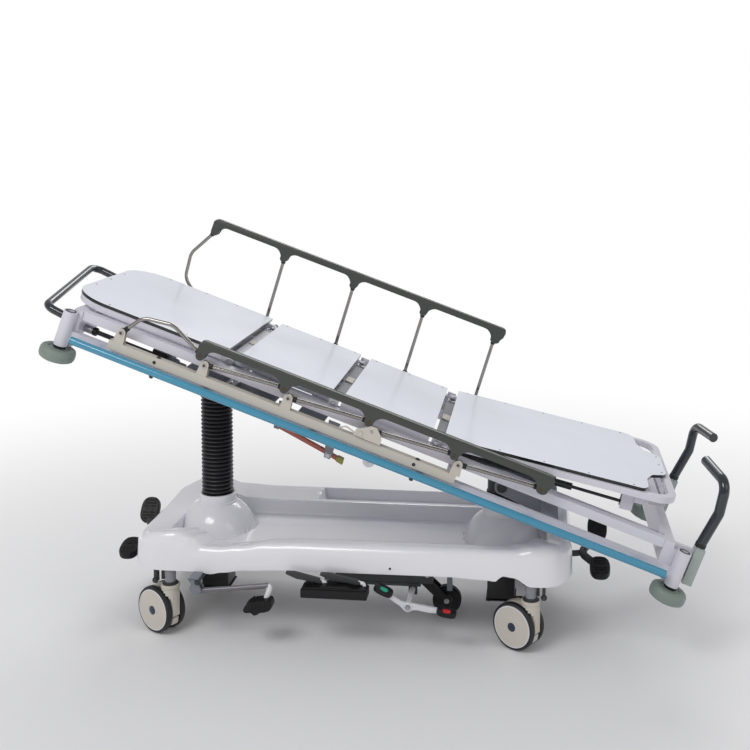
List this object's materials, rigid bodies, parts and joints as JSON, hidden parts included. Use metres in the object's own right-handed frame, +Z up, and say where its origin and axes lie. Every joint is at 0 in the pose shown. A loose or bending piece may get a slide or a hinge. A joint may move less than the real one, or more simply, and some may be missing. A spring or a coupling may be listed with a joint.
{
  "type": "stretcher trolley",
  "caption": "Hydraulic patient transfer stretcher, tilted head down: hinged back, thigh and leg boards, drop side rails, twin lifting columns, moulded base cover, swivel castors.",
  "frame": {"origin": "on the floor, under the middle of the trolley's overall length and width", "axes": "+X towards the head (push handle) end, +Y to the patient's left, the far side, +Z up"},
  "size_m": [2.2459, 0.81, 1.2779],
  "materials": {
    "bellows_rubber": "matte",
    "board_laminate": "satin laminate",
    "bracket_paint": "satin powder coat",
    "bumper_plastic": "satin",
    "castor_plastic": "satin",
    "chassis_paint": "satin",
    "cover_plastic": "satin",
    "crank_rod": "satin",
    "cylinder_paint": "gloss",
    "frame_paint": "satin powder coat",
    "handle_paint": "gloss",
    "lever_wire": "zinc plated",
    "pedal_paint": "satin",
    "post_chrome": "polished",
    "rail_channel_plastic": "satin",
    "rail_top_plastic": "satin",
    "ram_head_plastic": "matte",
    "ram_steel": "polished",
    "rocker_plastic": "satin",
    "spring_black": "gloss",
    "spring_rod_steel": "ground",
    "tube_blue": "gloss",
    "tyre_grey": "matte"
  },
  "bodies": {
    "chassis": {"chassis_frame": "chassis_paint", "base_cover": "cover_plastic", "lift_cylinders": "cylinder_paint", "foot_bellows": "bellows_rubber", "head_bellows": "bellows_rubber"},
    "foot_lift_stage": {"foot_lift_stage": "ram_steel"},
    "foot_ram": {"foot_ram": "ram_head_plastic"},
    "head_lift_stage": {"head_lift_stage": "ram_steel"},
    "head_ram": {"head_ram": "ram_head_plastic"},
    "head_pivot_pin": {"head_pivot_pin": "ram_head_plastic"},
    "fifth_wheel_arm": {"fifth_wheel_arm": "pedal_paint"},
    "fifth_wheel": {"fifth_wheel": "tyre_grey"},
    "pump_pedal": {"pump_pedal": "pedal_paint"},
    "lift_pedal": {"lift_pedal": "pedal_paint"},
    "steer_rocker": {"steer_rocker": "rocker_plastic"},
    "brake_pedals": {"brake_pedals": "pedal_paint"},
    "deck": {"deck_frame": "frame_paint", "pivot_brackets": "bracket_paint", "bumper_tubes": "tube_blue", "rail_channels": "rail_channel_plastic", "seat_board": "board_laminate", "foot_handle": "handle_paint"},
    "thigh": {"thigh_frame": "frame_paint", "thigh_board": "board_laminate"},
    "leg": {"leg_frame": "frame_paint", "leg_board": "board_laminate"},
    "back": {"back_frame": "frame_paint", "back_board": "board_laminate"},
    "gas_cylinders": {"gas_cylinders": "spring_black"},
    "gas_rods": {"gas_rods": "spring_rod_steel"},
    "release_lever": {"release_lever": "lever_wire"},
    "knee_crank": {"knee_crank": "crank_rod"},
    "castor_near_foot": {"castor_fork_near_foot": "castor_plastic"},
    "wheels_near_foot": {"castor_wheels_near_foot": "tyre_grey"},
    "castor_near_head": {"castor_fork_near_head": "castor_plastic"},
    "wheels_near_head": {"castor_wheels_near_head": "tyre_grey"},
    "castor_far_foot": {"castor_fork_far_foot": "castor_plastic"},
    "wheels_far_foot": {"castor_wheels_far_foot": "tyre_grey"},
    "castor_far_head": {"castor_fork_far_head": "castor_plastic"},
    "wheels_far_head": {"castor_wheels_far_head": "tyre_grey"},
    "near_post_1": {"near_post_1": "post_chrome"},
    "near_post_2": {"near_post_2": "post_chrome"},
    "near_post_3": {"near_post_3": "post_chrome"},
    "near_post_4": {"near_post_4": "post_chrome"},
    "near_post_5": {"near_post_5": "post_chrome"},
    "near_top_rail": {"near_top_rail": "rail_top_plastic"},
    "near_latch": {"near_latch": "rail_channel_plastic"},
    "far_post_1": {"far_post_1": "post_chrome"},
    "far_post_2": {"far_post_2": "post_chrome"},
    "far_post_3": {"far_post_3": "post_chrome"},
    "far_post_4": {"far_post_4": "post_chrome"},
    "far_post_5": {"far_post_5": "post_chrome"},
    "far_top_rail": {"far_top_rail": "rail_top_plastic"},
    "far_latch": {"far_latch": "rail_channel_plastic"},
    "bumper_wheel_near_foot": {"bumper_wheel_near_foot": "bumper_plastic"},
    "bumper_wheel_far_foot": {"bumper_wheel_far_foot": "bumper_plastic"},
    "bumper_wheel_near_head": {"bumper_wheel_near_head": "bumper_plastic"},
    "bumper_wheel_far_head": {"bumper_wheel_far_head": "bumper_plastic"},
    "push_handle_near": {"push_handle_near": "handle_paint"},
    "push_handle_far": {"push_handle_far": "handle_paint"}
  },
  "joints": [
    {"name": "foot_lift", "type": "slide", "parent": "chassis", "child": "foot_ram", "axis": [0, 0, 1], "range_m": [-0.35487, 0], "deforming": ["foot_bellows"]},
    {"name": "foot_stage", "type": "slide", "parent": "chassis", "child": "foot_lift_stage", "axis": [0, 0, 1], "range_m": [-0.17745, 0]},
    {"name": "head_lift", "type": "slide", "parent": "chassis", "child": "head_ram", "axis": [0, 0, 1], "range_m": [0, 0.35487], "deforming": ["head_bellows"]},
    {"name": "head_stage", "type": "slide", "parent": "chassis", "child": "head_lift_stage", "axis": [0, 0, 1], "range_m": [0, 0.17745]},
    {"name": "tilt_by_foot", "type": "hinge", "parent": "head_ram", "child": "head_pivot_pin", "pos_m": [0.4, 0, 0.4425], "axis": [0, 1, 0], "range_deg": [-20.01, 0]},
    {"name": "tilt_by_head", "type": "hinge", "parent": "head_pivot_pin", "child": "deck", "pos_m": [0.4, 0, 0.4425], "axis": [0, 1, 0], "range_deg": [-20.01, 0]},
    {"name": "swivel_near_foot", "type": "hinge", "parent": "chassis", "child": "castor_near_foot", "pos_m": [-0.646, -0.285, 0.16], "axis": [0, 0, 1], "continuous": true},
    {"name": "roll_near_foot", "type": "hinge", "parent": "castor_near_foot", "child": "wheels_near_foot", "pos_m": [-0.68457, -0.26182, 0.075], "axis": [-0.515, -0.8572, 0], "continuous": true},
    {"name": "swivel_near_head", "type": "hinge", "parent": "chassis", "child": "castor_near_head", "pos_m": [0.5, -0.285, 0.16], "axis": [0, 0, 1], "continuous": true},
    {"name": "roll_near_head", "type": "hinge", "parent": "castor_near_head", "child": "wheels_near_head", "pos_m": [0.46226, -0.26049, 0.075], "axis": [-0.5446, -0.8387, 0], "continuous": true},
    {"name": "swivel_far_foot", "type": "hinge", "parent": "chassis", "child": "castor_far_foot", "pos_m": [-0.646, 0.285, 0.16], "axis": [0, 0, 1], "continuous": true},
    {"name": "roll_far_foot", "type": "hinge", "parent": "castor_far_foot", "child": "wheels_far_foot", "pos_m": [-0.68678, 0.26598, 0.075], "axis": [0.4226, -0.9063, 0], "continuous": true},
    {"name": "swivel_far_head", "type": "hinge", "parent": "chassis", "child": "castor_far_head", "pos_m": [0.5, 0.285, 0.16], "axis": [0, 0, 1], "continuous": true},
    {"name": "roll_far_head", "type": "hinge", "parent": "castor_far_head", "child": "wheels_far_head", "pos_m": [0.45771, 0.30039, 0.075], "axis": [-0.342, -0.9397, 0], "continuous": true},
    {"name": "fifth_arm_drop", "type": "hinge", "parent": "chassis", "child": "fifth_wheel_arm", "pos_m": [0.06, -0.05, 0.196], "axis": [0, -1, 0], "range_deg": [0, 14]},
    {"name": "fifth_wheel_roll", "type": "hinge", "parent": "fifth_wheel_arm", "child": "fifth_wheel", "pos_m": [0.221, -0.05, 0.048], "axis": [0, 1, 0], "continuous": true},
    {"name": "pump_press", "type": "hinge", "parent": "chassis", "child": "pump_pedal", "pos_m": [-0.534, -0.3, 0.203], "axis": [0, 1, 0], "range_deg": [0, 15]},
    {"name": "lift_press", "type": "hinge", "parent": "chassis", "child": "lift_pedal", "pos_m": [-0.15, -0.3, 0.178], "axis": [0, 1, 0], "range_deg": [-6, 6]},
    {"name": "steer_rock", "type": "hinge", "parent": "chassis", "child": "steer_rocker", "pos_m": [0.124, -0.3, 0.147], "axis": [0, 1, 0], "range_deg": [-12, 12]},
    {"name": "brake_rock", "type": "hinge", "parent": "chassis", "child": "brake_pedals", "pos_m": [0, 0, 0.196], "axis": [1, 0, 0], "range_deg": [-12, 12]},
    {"name": "thigh_lift", "type": "hinge", "parent": "deck", "child": "thigh", "pos_m": [-0.11559, 0, 0.7685], "axis": [0, 1, 0], "range_deg": [0, 35]},
    {"name": "knee_bend", "type": "hinge", "parent": "thigh", "child": "leg", "pos_m": [-0.44355, 0, 0.88787], "axis": [0, 1, 0], "range_deg": [-56.01, 0]},
    {"name": "crank_turn", "type": "hinge", "parent": "deck", "child": "knee_crank", "pos_m": [-0.91735, -0.277, 0.9837], "axis": [0.9397, 0, -0.342], "range_deg": [0, 720.1]},
    {"name": "back_lift", "type": "hinge", "parent": "deck", "child": "back", "pos_m": [0.20202, 0, 0.6529], "axis": [0, -1, 0], "range_deg": [-7.2, 62.8]},
    {"name": "gas_swing", "type": "hinge", "parent": "deck", "child": "gas_cylinders", "pos_m": [0.26463, 0, 0.60564], "axis": [0, -1, 0], "range_deg": [-7.79, 67.83]},
    {"name": "gas_stroke", "type": "slide", "parent": "gas_cylinders", "child": "gas_rods", "axis": [0.9673, 0, -0.2535], "range_m": [-0.0069, 0.06009]},
    {"name": "release_pull", "type": "hinge", "parent": "back", "child": "release_lever", "pos_m": [0.84407, 0, 0.47729], "axis": [0, -1, 0], "range_deg": [0, 12]},
    {"name": "near_post_1_fold", "type": "hinge", "parent": "deck", "child": "near_post_1", "pos_m": [-0.7569, -0.362, 0.98596], "axis": [0, -1, 0], "range_deg": [0, 87.6]},
    {"name": "near_post_2_fold", "type": "hinge", "parent": "deck", "child": "near_post_2", "pos_m": [-0.49848, -0.362, 0.8919], "axis": [0, -1, 0], "range_deg": [0, 87.6]},
    {"name": "near_post_3_fold", "type": "hinge", "parent": "deck", "child": "near_post_3", "pos_m": [-0.24007, -0.362, 0.79785], "axis": [0, -1, 0], "range_deg": [0, 87.6]},
    {"name": "near_post_4_fold", "type": "hinge", "parent": "deck", "child": "near_post_4", "pos_m": [0.01835, -0.362, 0.70379], "axis": [0, -1, 0], "range_deg": [0, 87.6]},
    {"name": "near_post_5_fold", "type": "hinge", "parent": "deck", "child": "near_post_5", "pos_m": [0.27677, -0.362, 0.60973], "axis": [0, -1, 0], "range_deg": [0, 87.6]},
    {"name": "near_rail_level", "type": "hinge", "parent": "near_post_1", "child": "near_top_rail", "pos_m": [-0.50974, -0.362, 0.92158], "axis": [0, -1, 0], "range_deg": [-87.6, 0]},
    {"name": "near_latch_lift", "type": "hinge", "parent": "deck", "child": "near_latch", "pos_m": [-0.01813, -0.38, 0.70004], "axis": [0, 1, 0], "range_deg": [0, 18]},
    {"name": "far_post_1_fold", "type": "hinge", "parent": "deck", "child": "far_post_1", "pos_m": [-0.7569, 0.362, 0.98596], "axis": [0, 1, 0], "range_deg": [0, 87.6]},
    {"name": "far_post_2_fold", "type": "hinge", "parent": "deck", "child": "far_post_2", "pos_m": [-0.49848, 0.362, 0.8919], "axis": [0, 1, 0], "range_deg": [0, 87.6]},
    {"name": "far_post_3_fold", "type": "hinge", "parent": "deck", "child": "far_post_3", "pos_m": [-0.24007, 0.362, 0.79785], "axis": [0, 1, 0], "range_deg": [0, 87.6]},
    {"name": "far_post_4_fold", "type": "hinge", "parent": "deck", "child": "far_post_4", "pos_m": [0.01835, 0.362, 0.70379], "axis": [0, 1, 0], "range_deg": [0, 87.6]},
    {"name": "far_post_5_fold", "type": "hinge", "parent": "deck", "child": "far_post_5", "pos_m": [0.27677, 0.362, 0.60973], "axis": [0, 1, 0], "range_deg": [0, 87.6]},
    {"name": "far_rail_level", "type": "hinge", "parent": "far_post_1", "child": "far_top_rail", "pos_m": [-0.68222, 0.362, 1.2302], "axis": [0, 1, 0], "range_deg": [-87.6, 0]},
    {"name": "far_latch_lift", "type": "hinge", "parent": "deck", "child": "far_latch", "pos_m": [-0.01813, 0.38, 0.70004], "axis": [0, 1, 0], "range_deg": [0, 18]},
    {"name": "bumper_roll_near_foot", "type": "hinge", "parent": "deck", "child": "bumper_wheel_near_foot", "pos_m": [-0.96982, -0.35, 0.91553], "axis": [0.342, 0, 0.9397], "continuous": true},
    {"name": "bumper_roll_far_foot", "type": "hinge", "parent": "deck", "child": "bumper_wheel_far_foot", "pos_m": [-0.96982, 0.35, 0.91553], "axis": [0.342, 0, 0.9397], "continuous": true},
    {"name": "bumper_roll_near_head", "type": "hinge", "parent": "deck", "child": "bumper_wheel_near_head", "pos_m": [0.90768, -0.35, 0.23218], "axis": [0.342, 0, 0.9397], "continuous": true},
    {"name": "bumper_roll_far_head", "type": "hinge", "parent": "deck", "child": "bumper_wheel_far_head", "pos_m": [0.90768, 0.35, 0.23218], "axis": [0.342, 0, 0.9397], "continuous": true},
    {"name": "handle_swing_near", "type": "hinge", "parent": "deck", "child": "push_handle_near", "pos_m": [0.99563, -0.322, 0.34809], "axis": [0.342, 0, 0.9397], "range_deg": [-60, 60]},
    {"name": "handle_swing_far", "type": "hinge", "parent": "deck", "child": "push_handle_far", "pos_m": [0.99563, 0.322, 0.34809], "axis": [0.342, 0, 0.9397], "range_deg": [-60, 60]}
  ],
  "couplings": [
    {"joint": "foot_stage", "follows": "foot_lift", "ratio": 0.5},
    {"joint": "head_stage", "follows": "head_lift", "ratio": 0.5},
    {"joint": "tilt_by_foot", "follows": "foot_lift", "rad_per_m": 0.98364},
    {"joint": "tilt_by_head", "follows": "head_lift", "rad_per_m": -0.98364},
    {"joint": "knee_bend", "follows": "thigh_lift", "ratio": -1.6},
    {"joint": "crank_turn", "follows": "thigh_lift", "ratio": 20.571},
    {"joint": "gas_swing", "follows": "back_lift", "ratio": 1.08},
    {"joint": "gas_stroke", "follows": "back_lift", "m_per_rad": 0.054815},
    {"joint": "near_post_2_fold", "follows": "near_post_1_fold", "ratio": 1},
    {"joint": "near_post_3_fold", "follows": "near_post_1_fold", "ratio": 1},
    {"joint": "near_post_4_fold", "follows": "near_post_1_fold", "ratio": 1},
    {"joint": "near_post_5_fold", "follows": "near_post_1_fold", "ratio": 1},
    {"joint": "near_rail_level", "follows": "near_post_1_fold", "ratio": -1},
    {"joint": "far_post_2_fold", "follows": "far_post_1_fold", "ratio": 1},
    {"joint": "far_post_3_fold", "follows": "far_post_1_fold", "ratio": 1},
    {"joint": "far_post_4_fold", "follows": "far_post_1_fold", "ratio": 1},
    {"joint": "far_post_5_fold", "follows": "far_post_1_fold", "ratio": 1},
    {"joint": "far_rail_level", "follows": "far_post_1_fold", "ratio": -1}
  ]
}
